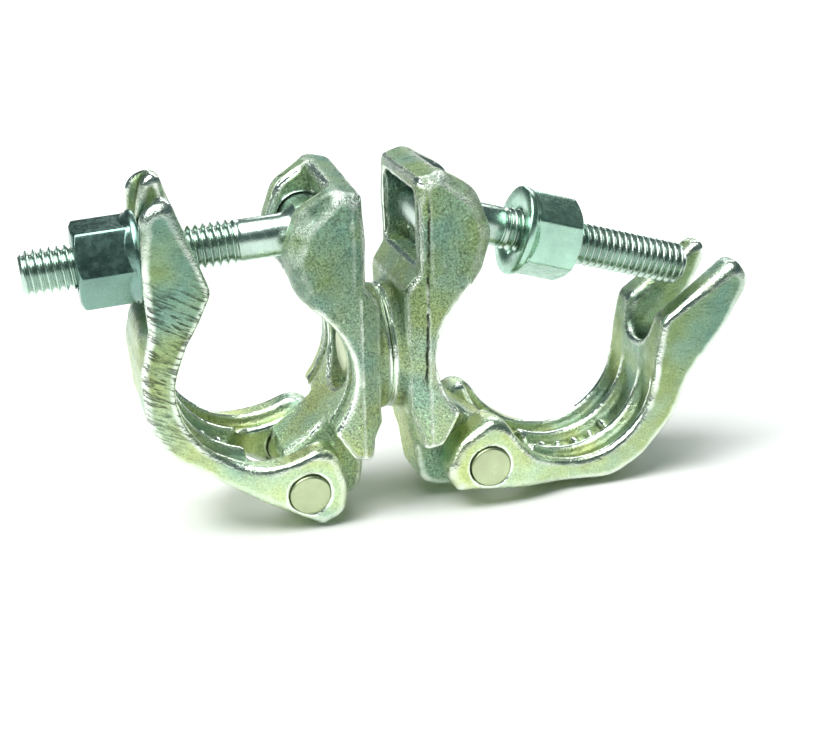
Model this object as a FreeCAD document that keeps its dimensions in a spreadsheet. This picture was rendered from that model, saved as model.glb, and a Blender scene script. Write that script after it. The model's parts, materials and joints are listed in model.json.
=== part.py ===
import FreeCAD, Part

import math
import os

import Sketcher
from FreeCAD import Placement, Rotation, Vector

# A forged swivel coupler for 48.3 mm scaffold tube.
# Each half is drawn in its own half frame, in millimetres: X runs away from the swivel joint
# towards the tube, Y along the tube, Z up. The joint face of the swivel is the plane X = 0 and
# the swivel's axis is the X axis. Both halves are the same parts, placed twice.
# The row's frame has its origin on the right tube's axis, halfway along the seat.

SIZES = {
    # tube and seat
    "tube_radius": 24.15,
    "tube_offset": 36.36,
    "half_width": 21.7,
    # swivel
    "boss_gap": 0.17,
    "boss_radius": 18.6,
    "boss_thickness": 5.0,
    "rivet_radius": 7.0,
    "rivet_clearance": 0.06,
    "rivet_head_radius": 10.7,
    "rivet_head_floor": 8.2,
    "rivet_head_thickness": 3.3,
    "rivet_recess_radius": 11.2,
    "rivet_head_play": 0.1,
    # ears and the bolt's pocket
    "ear_gap_half": 11.6,
    "head_along": 18.39,
    "head_height": 37.63,
    "head_radius": 7.0,
    "head_half_length": 14.2,
    "pocket_radius": 7.35,
    "pocket_half_length": 14.6,
    "pocket_corner_radius": 1.5,
    # hinge
    "pin_along": 26.75,
    "pin_height": -34.2,
    "pin_radius": 5.9,
    "pin_clearance": 0.05,
    "pin_half_length": 23.3,
    "lug_half_width": 10.0,
    # flap
    "flap_half_width": 18.3,
    "cheek_half_width": 22.6,
    "cheek_gap_half": 10.4,
    "fork_gap_half": 7.6,
    "nut_path_radius": 45.4,
    "nut_path_depth": 40.0,
    "nut_path_half_width": 13.7,
    "channel_radius": 26.8,
    "channel_half_width": 4.6,
    "channel_pitch": 11.6,
    # bolt and nut
    "thread_radius": 6.35,
    "shank_radius": 5.95,
    "shank_length": 20.5,
    "bolt_length": 81.1,
    "bolt_chamfer": 1.3,
    "nut_bore_radius": 6.4,
    "nut_across_flats": 22.0,
    "nut_height": 18.0,
    "nut_corner_angle": 30.0,
    "nut_face_radius": 10.8,
    "flange_radius": 13.2,
    "flange_thickness": 2.4,
    "flange_cone_height": 2.2,
    "countersink_radius": 7.6,
}

# The pose the coupler is stored in.
SWIVEL_ANGLE = 4.85
FLAP_OPENING = {"left": 2.25, "right": 39.0}
BOLT_DROOP = {"left": 2.89, "right": 17.27}
NUT_DISTANCE = {"left": 48.5, "right": 25.3}
NUT_ROLL = {"left": 0.0, "right": 30.0}

# Side outlines in the half frame: along X, up and the corner's rounding radius.
BODY_SIDE = [
    (10.1, 52.5, 1.0),
    (16.5, 53.0, 3.0),
    (25.2, 46.5, 6.0),
    (29.2, 34.5, 6.0),
    (26.6, 25.4, 4.0),
    (21.2, 18.6, 0.5),
    (18.5, -16.9, 1.0),
    (13.0, -25.9, 1.5),
    (7.2, -26.9, 1.5),
    (6.2, -20.6, 1.0),
    (3.8, -16.4, 1.5),
    (3.8, 19.5, 2.0),
    (10.1, 26.6, 1.5),
]
LUG_SIDE = [
    (8.0, -10.0, 1.0),
    (6.0, -22.0, 3.0),
    (6.0, -41.0, 7.0),
    (14.0, -43.6, 6.0),
    (26.75, -43.6, 0.0),
    (36.0, -38.0, 3.0),
    (36.0, -30.0, 3.0),
    (24.9, -21.2, 1.0),
    (21.0, -12.0, 1.0),
]
SLOT_SIDE = [
    (9.0, 47.6, 0.0),
    (16.8, 47.6, 0.8),
    (16.8, 60.0, 0.0),
    (40.0, 60.0, 0.0),
    (40.0, 21.5, 0.0),
    (18.4, 30.3, 0.0),
    (9.0, 30.3, 0.0),
]
FLAP_SIDE = [
    (31.2, -24.5, 0.5),
    (56.3, 13.3, 2.0),
    (48.2, 29.0, 2.5),
    (56.4, 53.4, 1.5),
    (59.2, 56.6, 1.8),
    (63.4, 52.8, 2.5),
    (65.2, 41.5, 5.0),
    (64.8, 32.0, 6.0),
    (68.2, 11.0, 14.0),
    (66.2, -9.5, 22.0),
    (46.0, -30.8, 25.0),
    (24.0, -45.4, 2.0),
    (17.4, -44.8, 2.5),
    (14.6, -35.0, 6.0),
    (18.4, -26.0, 5.0),
    (23.2, -22.6, 2.0),
]
CHEEK_SIDE = [
    (31.2, -24.5, 0.5),
    (42.0, -27.5, 3.0),
    (44.0, -32.2, 1.0),
    (24.0, -45.4, 2.0),
    (17.4, -44.8, 2.5),
    (14.6, -35.0, 6.0),
    (18.4, -26.0, 5.0),
    (23.2, -22.6, 2.0),
]
CHEEK_GAP_SIDE = [
    (10.0, -12.0, 0.0),
    (26.75, -12.0, 0.0),
    (44.5, -19.0, 0.0),
    (46.0, -40.0, 0.0),
    (26.75, -56.0, 0.0),
    (10.0, -50.0, 0.0),
]
FORK_SIDE = [
    (40.0, 21.5, 0.0),
    (80.0, 21.5, 0.0),
    (80.0, 66.0, 0.0),
    (40.0, 66.0, 0.0),
]

NUT_PATH_ANGLES = (-22.0, 15.0, 60.0)

doc = FreeCAD.newDocument("swivel_coupler")
os.makedirs("parts", exist_ok=True)

sizes = doc.addObject("Spreadsheet::Sheet", "sizes")
for row, (alias, value) in enumerate(SIZES.items(), start=1):
    sizes.set(f"A{row}", alias)
    sizes.set(f"B{row}", str(value))
    sizes.setAlias(f"B{row}", alias)
doc.recompute()


def origin_plane(body, role):
    for feature in body.Origin.OriginFeatures:
        if feature.Role == role:
            return feature
    raise RuntimeError(f"no origin plane {role}")


def new_sketch(body, name, role, offset=None):
    """A sketch on one of the body's own origin planes, moved along the plane's normal."""
    sketch = body.newObject("Sketcher::SketchObject", name)
    sketch.AttachmentSupport = (origin_plane(body, role), [""])
    sketch.MapMode = "FlatFace"
    if offset:
        sketch.setExpression(".AttachmentOffset.Base.z", offset)
    return sketch


def rounded_outline(sketch, corners):
    """Draw a closed outline of straight runs, with each corner rounded to its own radius."""
    count = len(corners)
    bends = []
    for index, (across, up, radius) in enumerate(corners):
        corner = Vector(across, up, 0)
        back = (Vector(*corners[index - 1][:2], 0) - corner).normalize()
        ahead = (Vector(*corners[(index + 1) % count][:2], 0) - corner).normalize()
        half = math.acos(back.dot(ahead)) / 2
        reach = radius / math.tan(half)
        inward = (back + ahead).normalize()
        middle = corner + inward * (radius / math.sin(half) - radius)
        bends.append((corner + back * reach, middle, corner + ahead * reach, radius))
    for index, (entry, middle, leave, radius) in enumerate(bends):
        if radius > 0:
            sketch.addGeometry(Part.Arc(entry, middle, leave), False)
        next_entry = bends[(index + 1) % count][0]
        sketch.addGeometry(Part.LineSegment(leave, next_entry), False)


def round_outline(sketch, radius, across="0", up="0"):
    """Draw one circle whose centre and radius follow the sheet."""
    circle = sketch.addGeometry(Part.Circle(Vector(1, 1, 0), Vector(0, 0, 1), 5), False)
    for kind, expression in (("DistanceX", across), ("DistanceY", up)):
        place = sketch.addConstraint(Sketcher.Constraint(kind, -1, 1, circle, 3, 1.0))
        sketch.setExpression(f"Constraints[{place}]", expression)
    size = sketch.addConstraint(Sketcher.Constraint("Radius", circle, 5.0))
    sketch.setExpression(f"Constraints[{size}]", radius)


def add_pad(body, name, sketch, length, symmetric=True):
    pad = body.newObject("PartDesign::Pad", name)
    pad.Profile = sketch
    pad.SideType = "Symmetric" if symmetric else "One side"
    pad.setExpression("Length", length)
    doc.recompute()
    return pad


def add_pocket(body, name, sketch, length, symmetric=True, backwards=False):
    """Cut a pocket and make sure that it removed material."""
    before = body.Shape.Volume
    pocket = body.newObject("PartDesign::Pocket", name)
    pocket.Profile = sketch
    pocket.SideType = "Symmetric" if symmetric else "One side"
    pocket.Reversed = backwards
    pocket.setExpression("Length", length)
    doc.recompute()
    if body.Shape.Volume > before - 1e-3:
        raise RuntimeError(f"{body.Label}: {name} removes nothing")
    return pocket


def half_placement(side):
    """From the half frame to the row's frame."""
    move = Placement(Vector(-SIZES["tube_offset"], 0, 0), Rotation())
    if side == "right":
        return move
    turn_about = Rotation(Vector(0, 0, 1), 180)
    swivel = Rotation(Vector(1, 0, 0), SWIVEL_ANGLE)
    return move * Placement(Vector(), swivel) * Placement(Vector(), turn_about)


def turned(across, up, degrees):
    """A turn about a line along Y through a point of the half frame."""
    centre = Vector(SIZES[across], 0, SIZES[up])
    return Placement(Vector(), Rotation(Vector(0, 1, 0), degrees), centre)


def make_body(side):
    """Saddle, boss, ears and hinge lug, forged in one piece."""
    body = doc.addObject("PartDesign::Body", f"{side}_body")
    plate = new_sketch(body, f"{side}_plate_sketch", "XZ_Plane")
    rounded_outline(plate, BODY_SIDE)
    add_pad(body, f"{side}_plate", plate, "2 * sizes.half_width")
    boss = new_sketch(body, f"{side}_boss_sketch", "YZ_Plane", "sizes.boss_gap")
    round_outline(boss, "sizes.boss_radius")
    add_pad(body, f"{side}_boss", boss, "sizes.boss_thickness", symmetric=False)
    lug = new_sketch(body, f"{side}_lug_sketch", "XZ_Plane")
    rounded_outline(lug, LUG_SIDE)
    add_pad(body, f"{side}_lug", lug, "2 * sizes.lug_half_width")
    seat = new_sketch(body, f"{side}_seat_sketch", "XZ_Plane")
    round_outline(seat, "sizes.tube_radius", "sizes.tube_offset")
    add_pocket(body, f"{side}_seat", seat, "4 * sizes.half_width")
    slot = new_sketch(body, f"{side}_ear_slot_sketch", "XZ_Plane")
    rounded_outline(slot, SLOT_SIDE)
    add_pocket(body, f"{side}_ear_slot", slot, "2 * sizes.ear_gap_half")
    window = new_sketch(body, f"{side}_window_sketch", "YZ_Plane")
    bottom = SIZES["head_height"] - SIZES["pocket_radius"]
    top = SIZES["head_height"] + SIZES["pocket_radius"]
    side_wall = SIZES["pocket_half_length"]
    corners = [(-side_wall, bottom), (side_wall, bottom), (side_wall, top), (-side_wall, top)]
    corner_radius = SIZES["pocket_corner_radius"]
    rounded_outline(window, [(across, up, corner_radius) for across, up in corners])
    add_pocket(body, f"{side}_window", window, "sizes.head_along", False, True)
    head_seat = new_sketch(body, f"{side}_head_seat_sketch", "XZ_Plane")
    round_outline(head_seat, "sizes.pocket_radius", "sizes.head_along", "sizes.head_height")
    add_pocket(body, f"{side}_head_seat", head_seat, "2 * sizes.pocket_half_length")
    recess = new_sketch(body, f"{side}_recess_sketch", "YZ_Plane", "sizes.rivet_head_floor")
    round_outline(recess, "sizes.rivet_recess_radius")
    add_pocket(body, f"{side}_recess", recess, "sizes.tube_offset", False, True)
    clearance = " + sizes.rivet_clearance" if side == "left" else ""
    bore = new_sketch(body, f"{side}_rivet_bore_sketch", "YZ_Plane")
    round_outline(bore, "sizes.rivet_radius" + clearance)
    add_pocket(body, f"{side}_rivet_bore", bore, "sizes.tube_offset", False, True)
    pin_hole = new_sketch(body, f"{side}_pin_hole_sketch", "XZ_Plane")
    pin_radius = "sizes.pin_radius + sizes.pin_clearance"
    round_outline(pin_hole, pin_radius, "sizes.pin_along", "sizes.pin_height")
    add_pocket(body, f"{side}_pin_hole", pin_hole, "4 * sizes.half_width")
    body.Placement = half_placement(side)


def make_flap(side):
    """Curved arm with two hinge cheeks, channels inside and a forked end."""
    body = doc.addObject("PartDesign::Body", f"{side}_flap")
    arm = new_sketch(body, f"{side}_arm_sketch", "XZ_Plane")
    rounded_outline(arm, FLAP_SIDE)
    add_pad(body, f"{side}_arm", arm, "2 * sizes.flap_half_width")
    cheek = new_sketch(body, f"{side}_cheek_sketch", "XZ_Plane")
    rounded_outline(cheek, CHEEK_SIDE)
    add_pad(body, f"{side}_cheek", cheek, "2 * sizes.cheek_half_width")
    seat = new_sketch(body, f"{side}_arm_seat_sketch", "XZ_Plane")
    round_outline(seat, "sizes.tube_radius", "sizes.tube_offset")
    add_pocket(body, f"{side}_arm_seat", seat, "4 * sizes.cheek_half_width")
    gap = new_sketch(body, f"{side}_cheek_gap_sketch", "XZ_Plane")
    rounded_outline(gap, CHEEK_GAP_SIDE)
    add_pocket(body, f"{side}_cheek_gap", gap, "2 * sizes.cheek_gap_half")
    for number, step in enumerate((-1, 0, 1)):
        name = f"{side}_channel_{number}"
        channel = new_sketch(body, f"{name}_sketch", "XZ_Plane", f"{step} * sizes.channel_pitch")
        round_outline(channel, "sizes.channel_radius", "sizes.tube_offset")
        add_pocket(body, name, channel, "2 * sizes.channel_half_width")
    fork = new_sketch(body, f"{side}_fork_sketch", "XZ_Plane")
    rounded_outline(fork, FORK_SIDE)
    add_pocket(body, f"{side}_fork", fork, "2 * sizes.fork_gap_half")
    nut_path = new_sketch(body, f"{side}_nut_path_sketch", "XZ_Plane")
    nut_path_outline(nut_path)
    add_pocket(body, f"{side}_nut_path", nut_path, "2 * sizes.nut_path_half_width")
    pin_hole = new_sketch(body, f"{side}_cheek_hole_sketch", "XZ_Plane")
    round_outline(pin_hole, "sizes.pin_radius", "sizes.pin_along", "sizes.pin_height")
    add_pocket(body, f"{side}_cheek_hole", pin_hole, "4 * sizes.cheek_half_width")
    opening = turned("pin_along", "pin_height", FLAP_OPENING[side])
    body.Placement = half_placement(side) * opening


def nut_path_outline(sketch):
    """The ring sector outside the fork that the flanged nut swings through."""
    centre = Vector(SIZES["head_along"], SIZES["head_height"], 0)
    inner = SIZES["nut_path_radius"]
    outer = inner + SIZES["nut_path_depth"]

    def at(radius, degrees):
        angle = math.radians(degrees)
        return centre + Vector(radius * math.cos(angle), radius * math.sin(angle), 0)

    low, middle, high = NUT_PATH_ANGLES
    sketch.addGeometry(Part.Arc(at(inner, low), at(inner, middle), at(inner, high)), False)
    sketch.addGeometry(Part.LineSegment(at(inner, high), at(outer, high)), False)
    sketch.addGeometry(Part.Arc(at(outer, high), at(outer, middle), at(outer, low)), False)
    sketch.addGeometry(Part.LineSegment(at(outer, low), at(inner, low)), False)


def primitive(kind, name, values, placement=None):
    """A Part primitive with its sizes bound to the sheet."""
    solid = doc.addObject(f"Part::{kind}", name)
    for size, expression in values.items():
        solid.setExpression(size, expression)
    if placement:
        solid.Placement = placement
    return solid


def joined(name, solids):
    fusion = doc.addObject("Part::MultiFuse", name)
    fusion.Shapes = solids
    return fusion


def cut(name, base, tool):
    result = doc.addObject("Part::Cut", name)
    result.Base = base
    result.Tool = tool
    return result


def raised(height):
    return Placement(Vector(0, 0, height), Rotation())


Z_TO_X = Placement(Vector(), Rotation(Vector(0, 1, 0), 90))
Z_TO_Y = Placement(Vector(), Rotation(Vector(1, 0, 0), -90))


def bolt_placement(side):
    """The bolt's own frame: Z along the shank, origin on the cross bar's axis."""
    head = Placement(Vector(SIZES["head_along"], 0, SIZES["head_height"]), Rotation())
    droop = Placement(Vector(), Rotation(Vector(0, 1, 0), BOLT_DROOP[side]))
    return half_placement(side) * head * droop * Z_TO_X


def make_bolt(side):
    """Cross-bar head, plain shank and thread, drawn along Z."""
    name = f"{side}_t_bolt"
    across = Placement(Vector(0, -SIZES["head_half_length"], 0), Z_TO_Y.Rotation)
    head_sizes = {"Radius": "sizes.head_radius", "Height": "2 * sizes.head_half_length"}
    head = primitive("Cylinder", f"{name}_head", head_sizes, across)
    shank_sizes = {"Radius": "sizes.shank_radius", "Height": "sizes.shank_length"}
    shank = primitive("Cylinder", f"{name}_shank", shank_sizes)
    thread_sizes = {
        "Radius": "sizes.thread_radius",
        "Height": "sizes.bolt_length - sizes.shank_length - sizes.bolt_chamfer",
    }
    thread = primitive("Cylinder", f"{name}_thread", thread_sizes, raised(SIZES["shank_length"]))
    end_sizes = {
        "Radius1": "sizes.thread_radius",
        "Radius2": "sizes.thread_radius - sizes.bolt_chamfer",
        "Height": "sizes.bolt_chamfer",
    }
    end_height = SIZES["bolt_length"] - SIZES["bolt_chamfer"]
    end = primitive("Cone", f"{name}_end", end_sizes, raised(end_height))
    bolt = joined(name, [head, shank, thread, end])
    bolt.Placement = bolt_placement(side)


def make_nut(side):
    """Hexagon nut with a conical flange at its inner end, drawn along Z."""
    name = f"{side}_flange_nut"
    corner_radius = "sizes.nut_across_flats / 2 / cos(30 deg)"
    hexagon_sizes = {"Circumradius": corner_radius, "Height": "sizes.nut_height"}
    hexagon = primitive("Prism", f"{name}_hexagon", hexagon_sizes)
    hexagon.Polygon = 6
    dome_sizes = {
        "Radius1": "sizes.nut_face_radius + sizes.nut_height / tan(sizes.nut_corner_angle * 1 deg)",
        "Radius2": "sizes.nut_face_radius",
        "Height": "sizes.nut_height",
    }
    dome = primitive("Cone", f"{name}_dome", dome_sizes)
    grip = doc.addObject("Part::MultiCommon", f"{name}_grip")
    grip.Shapes = [hexagon, dome]
    flange_sizes = {"Radius": "sizes.flange_radius", "Height": "sizes.flange_thickness"}
    flange = primitive("Cylinder", f"{name}_flange", flange_sizes)
    cone_sizes = {
        "Radius1": "sizes.flange_radius",
        "Radius2": "sizes.nut_across_flats / 2",
        "Height": "sizes.flange_cone_height",
    }
    cone = primitive("Cone", f"{name}_cone", cone_sizes, raised(SIZES["flange_thickness"]))
    blank = joined(f"{name}_blank", [grip, flange, cone])
    bore_sizes = {"Radius": "sizes.nut_bore_radius", "Height": "sizes.nut_height"}
    bore = primitive("Cylinder", f"{name}_bore", bore_sizes)
    sink_sizes = {
        "Radius1": "sizes.countersink_radius",
        "Radius2": "sizes.nut_bore_radius",
        "Height": "sizes.countersink_radius - sizes.nut_bore_radius",
    }
    sink = primitive("Cone", f"{name}_countersink", sink_sizes)
    hole = joined(f"{name}_hole", [bore, sink])
    nut = cut(name, blank, hole)
    roll = Placement(Vector(0, 0, NUT_DISTANCE[side]), Rotation(Vector(0, 0, 1), NUT_ROLL[side]))
    nut.Placement = bolt_placement(side) * roll


def make_hinge_pin(side):
    pin_sizes = {"Radius": "sizes.pin_radius", "Height": "2 * sizes.pin_half_length"}
    pin = primitive("Cylinder", f"{side}_hinge_pin", pin_sizes)
    start = Vector(SIZES["pin_along"], -SIZES["pin_half_length"], SIZES["pin_height"])
    opening = turned("pin_along", "pin_height", FLAP_OPENING[side])
    pin.Placement = half_placement(side) * opening * Placement(start, Z_TO_Y.Rotation)


def make_swivel_rivet():
    """One shank through both saddles, with a head in each recess."""
    reach = SIZES["rivet_head_floor"]
    thickness = SIZES["rivet_head_thickness"]
    far_head = -(reach + SIZES["rivet_head_play"] + thickness)
    shank_sizes = {
        "Radius": "sizes.rivet_radius",
        "Height": "2 * sizes.rivet_head_floor + sizes.rivet_head_play",
    }
    shank = primitive("Cylinder", "swivel_rivet_shank", shank_sizes, raised(far_head + thickness))
    head_sizes = {"Radius": "sizes.rivet_head_radius", "Height": "sizes.rivet_head_thickness"}
    near = primitive("Cylinder", "swivel_rivet_near_head", head_sizes, raised(reach))
    far = primitive("Cylinder", "swivel_rivet_far_head", head_sizes, raised(far_head))
    rivet = joined("swivel_rivet", [shank, near, far])
    rivet.Placement = half_placement("right") * Z_TO_X


for half in ("right", "left"):
    make_body(half)
    make_flap(half)
    make_hinge_pin(half)
    make_bolt(half)
    make_nut(half)
make_swivel_rivet()
doc.recompute()

NODES = [
    f"{half}_{piece}"
    for half in ("right", "left")
    for piece in ("body", "flap", "hinge_pin", "t_bolt", "flange_nut")
] + ["swivel_rivet"]

for thing in doc.Objects:
    if "Invalid" in thing.State or "Error" in thing.State:
        raise RuntimeError(f"{thing.Name} failed: {thing.State}")
for node in NODES:
    shape = doc.getObject(node).Shape
    if shape.isNull() or not shape.isValid() or len(shape.Solids) != 1:
        raise RuntimeError(f"{node} isn't one valid solid")
for node in NODES:
    shape = doc.getObject(node).Shape
    shape.exportStep(f"parts/{node}.step")
    print(f"{node}: {shape.Volume / 1000:.2f} cm3, box {shape.BoundBox}")
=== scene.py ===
import json
import math

import bpy
import numpy as np
from mathutils import Matrix, Vector


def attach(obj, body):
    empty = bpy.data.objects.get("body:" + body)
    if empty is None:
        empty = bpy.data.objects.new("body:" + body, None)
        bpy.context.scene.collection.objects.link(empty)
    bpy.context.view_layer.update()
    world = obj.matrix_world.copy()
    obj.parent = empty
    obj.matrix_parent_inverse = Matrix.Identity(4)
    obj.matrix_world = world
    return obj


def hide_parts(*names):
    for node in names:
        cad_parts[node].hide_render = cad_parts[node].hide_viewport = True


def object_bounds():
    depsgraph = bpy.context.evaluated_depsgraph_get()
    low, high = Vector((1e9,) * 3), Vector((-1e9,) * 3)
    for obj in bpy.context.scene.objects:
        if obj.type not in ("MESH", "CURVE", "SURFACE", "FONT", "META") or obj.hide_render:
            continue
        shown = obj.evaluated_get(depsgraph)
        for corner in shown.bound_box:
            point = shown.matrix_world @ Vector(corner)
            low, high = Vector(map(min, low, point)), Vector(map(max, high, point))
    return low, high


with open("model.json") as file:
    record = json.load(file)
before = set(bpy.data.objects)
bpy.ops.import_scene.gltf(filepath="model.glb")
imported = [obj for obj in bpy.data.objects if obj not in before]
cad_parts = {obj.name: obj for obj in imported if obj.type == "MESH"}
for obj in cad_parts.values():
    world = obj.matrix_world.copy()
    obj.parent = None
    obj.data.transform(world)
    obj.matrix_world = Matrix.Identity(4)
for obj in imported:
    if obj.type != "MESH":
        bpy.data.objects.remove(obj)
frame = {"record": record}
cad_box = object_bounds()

# A forged swivel coupler for scaffold tube: two equal halves on one rivet.
# Shapes are drawn in millimetres in the half frame of the CAD model: X runs away from the swivel
# joint towards the tube, Y along the tube, Z up, with the origin on the swivel's axis.
# The forgings are distance fields turned into meshes; turned parts are profiles round an axis.
MM = 0.001

# ---------------------------------------------------------------- sizes, in millimetres
TUBE_RADIUS = 24.15
HALF_WIDTH = 21.7
BOSS_RADIUS = 18.6
BOSS_GAP = 0.17
RECESS_RADIUS = 11.2
RECESS_FLOOR = 8.2
RIVET_RADIUS = 7.0
RIVET_CLEARANCE = 0.06
RIVET_HEAD_RADIUS = 10.7
RIVET_HEAD_THICKNESS = 3.3
EAR_GAP_HALF = 11.6
HEAD_RADIUS = 7.2
HEAD_HALF_LENGTH = 14.2
POCKET_RADIUS = 7.35
POCKET_HALF_LENGTH = 14.6
WINDOW_HEIGHT = 38.0
WINDOW_HALF_HEIGHT = 10.6
WINDOW_HALF_LENGTH = 17.0
WINDOW_DEPTH = 14.5
PIN_RADIUS = 5.86
PIN_CLEARANCE = 0.09
PIN_HOLE_RADIUS = 6.08
PIN_HALF_LENGTH = 23.3
BODY_ROUNDING = 1.3
BOSS_DEPTH = 9.0
LUG_HALF_WIDTH = 10.0
SEAT_GROOVE_MIDDLE = 15.2
SEAT_GROOVE_HALF_WIDTH = 1.7
SEAT_GROOVE_DEPTH = 1.0
CHEEK_HALF_WIDTH = 22.6
CHEEK_GAP_HALF = 10.4
FLAP_HALF_WIDTH = 18.3
FLAP_ROUNDING = 1.8
FORK_GAP_HALF = 7.6
FORK_FLOOR = 21.5
FORK_LIP_ALONG = 62.6
FORK_LIP_HEIGHT = 15.0
FORK_LIP_RADIUS = 5.9
FORK_LIP_HALF_WIDTH = 13.5
NUT_PATH_RADIUS = 45.4
NUT_PATH_HALF_WIDTH = 13.7
NUT_PATH_FOOT = 20.6
CHANNEL_RADIUS = 26.8
CHANNELS = ((0.0, 4.9), (11.4, 3.5))
THREAD_RADIUS = 6.35
THREAD_DEPTH = 1.36
THREAD_PITCH = 2.117
THREAD_START = 20.5
SHANK_RADIUS = 5.95
BOLT_LENGTH = 81.1
NUT_HALF_FLATS = 11.0
NUT_HEIGHT = 18.0
FLANGE_RADIUS = 13.2
FLANGE_THICKNESS = 2.4

# The stored pose, which the record doesn't hold.
FLAP_OPENING = {"left": 2.25, "right": 39.0}
NUT_DISTANCE = {"left": 48.5, "right": 25.3}
NUT_ROLL = {"left": 0.0, "right": 30.0}

# ---------------------------------------------------------------- frames of the moving parts
joints = {joint["name"]: joint for joint in frame["record"]["behaviour"]["joints"]}
SWIVEL = Vector(joints["swivel"]["pos_m"])
TUBE_OFFSET = -SWIVEL.x / MM
right_hinge = Vector(joints["right_flap_hinge"]["pos_m"]) - SWIVEL
right_head = Vector(joints["right_bolt_swing"]["pos_m"]) - SWIVEL
PIN_ALONG, PIN_HEIGHT = right_hinge.x / MM, right_hinge.z / MM
HEAD_ALONG, HEAD_HEIGHT = right_head.x / MM, right_head.z / MM
left_hinge_axis = Vector(joints["left_flap_hinge"]["axis"])
SWIVEL_ANGLE = math.atan2(-left_hinge_axis.z, -left_hinge_axis.y)


def half_matrix(side):
    """From the half frame, in metres, to the row's frame."""
    if side == "right":
        return Matrix.Translation(SWIVEL)
    swivel = Matrix.Rotation(SWIVEL_ANGLE, 4, "X")
    return Matrix.Translation(SWIVEL) @ swivel @ Matrix.Rotation(math.pi, 4, "Z")


def turned_about(along, height, degrees):
    centre = Matrix.Translation(Vector((along, 0, height)) * MM)
    return centre @ Matrix.Rotation(math.radians(degrees), 4, "Y") @ centre.inverted()


def bolt_matrix(side):
    """From the bolt's own frame, Z along the shank from the head's axis, to the row's frame."""
    along = Vector(joints[f"{side}_nut_travel"]["axis"])
    along = half_matrix(side).to_3x3().inverted() @ along
    droop = math.atan2(-along.z, along.x)
    head = Matrix.Translation(Vector((HEAD_ALONG, 0, HEAD_HEIGHT)) * MM)
    return half_matrix(side) @ head @ Matrix.Rotation(droop + math.pi / 2, 4, "Y")


# ---------------------------------------------------------------- distance fields
# Negative inside. A corner of an outline is (along, up, rounding radius).
ARC_STEPS = 8


def smoothstep(low, high, value):
    t = np.clip((value - low) / (high - low), 0, 1)
    return t * t * (3 - 2 * t)


def rounded_max(a, b, radius):
    """Intersection of two fields with its edge rounded."""
    over_a = np.maximum(a + radius, 0)
    over_b = np.maximum(b + radius, 0)
    return np.minimum(np.maximum(a, b), -radius) + np.hypot(over_a, over_b)


def blended_min(a, b, radius):
    """Union of two fields with a fillet."""
    closeness = np.clip(0.5 + 0.5 * (b - a) / radius, 0, 1)
    return b + (a - b) * closeness - radius * closeness * (1 - closeness)


def rounded_corners(corners):
    """The outline's points, each corner an arc of its own radius."""
    points = []
    count = len(corners)
    for index, (along, up, radius) in enumerate(corners):
        corner = np.array([along, up])
        back = np.array(corners[index - 1][:2]) - corner
        ahead = np.array(corners[(index + 1) % count][:2]) - corner
        back /= np.linalg.norm(back)
        ahead /= np.linalg.norm(ahead)
        half = math.acos(np.clip(back @ ahead, -1, 1)) / 2
        if radius == 0:
            points.append(corner)
            continue
        middle = (back + ahead) / np.linalg.norm(back + ahead)
        centre = corner + middle * radius / math.sin(half)
        start = corner + back * radius / math.tan(half) - centre
        end = corner + ahead * radius / math.tan(half) - centre
        for step in range(ARC_STEPS + 1):
            spoke = start + (end - start) * step / ARC_STEPS
            points.append(centre + spoke * radius / np.linalg.norm(spoke))
    return np.array(points)


def outline_distance(corners, along, up):
    """Signed distance in the side view, on the grid's own along and up values."""
    points = rounded_corners(corners)
    x, z = np.broadcast_arrays(along[:, 0, 0][:, None], up[0, 0, :][None, :])
    nearest = np.full(x.shape, 1e9)
    inside = np.zeros(x.shape, bool)
    for (x0, z0), (x1, z1) in zip(points, np.roll(points, -1, axis=0)):
        dx, dz = x1 - x0, z1 - z0
        length = dx * dx + dz * dz
        if length < 1e-12:
            continue
        t = np.clip(((x - x0) * dx + (z - z0) * dz) / length, 0, 1)
        nearest = np.minimum(nearest, (x - x0 - t * dx) ** 2 + (z - z0 - t * dz) ** 2)
        if dz != 0:
            crosses = ((z0 > z) != (z1 > z)) & (x < x0 + (z - z0) * dx / dz)
            inside ^= crosses
    distance = np.sqrt(nearest)
    return np.where(inside, -distance, distance)[:, None, :].astype(np.float32)


def lumps(shape, cells, seed):
    """Smooth random values from -1 to 1, with bumps about that many grid cells wide."""
    random = np.random.default_rng(seed)
    values = random.uniform(-1, 1, [int(n / cells) + 3 for n in shape]).astype(np.float32)
    for axis, count in enumerate(shape):
        place = np.arange(count) / cells
        whole = place.astype(int)
        part = smoothstep(0, 1, place - whole).astype(np.float32)
        part = part.reshape([-1 if a == axis else 1 for a in range(3)])
        low = np.take(values, whole, axis=axis)
        values = low + (np.take(values, whole + 1, axis=axis) - low) * part
    return values


def forged_skin(field, seed):
    """The field with the unevenness of a forged surface, broad and fine."""
    return field + 0.2 * lumps(field.shape, 13, seed) + 0.09 * lumps(field.shape, 5, seed + 1)


# ---------------------------------------------------------------- from a field to a mesh
GRID_STEP = 0.55
RELAX_ROUNDS = 3


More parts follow.
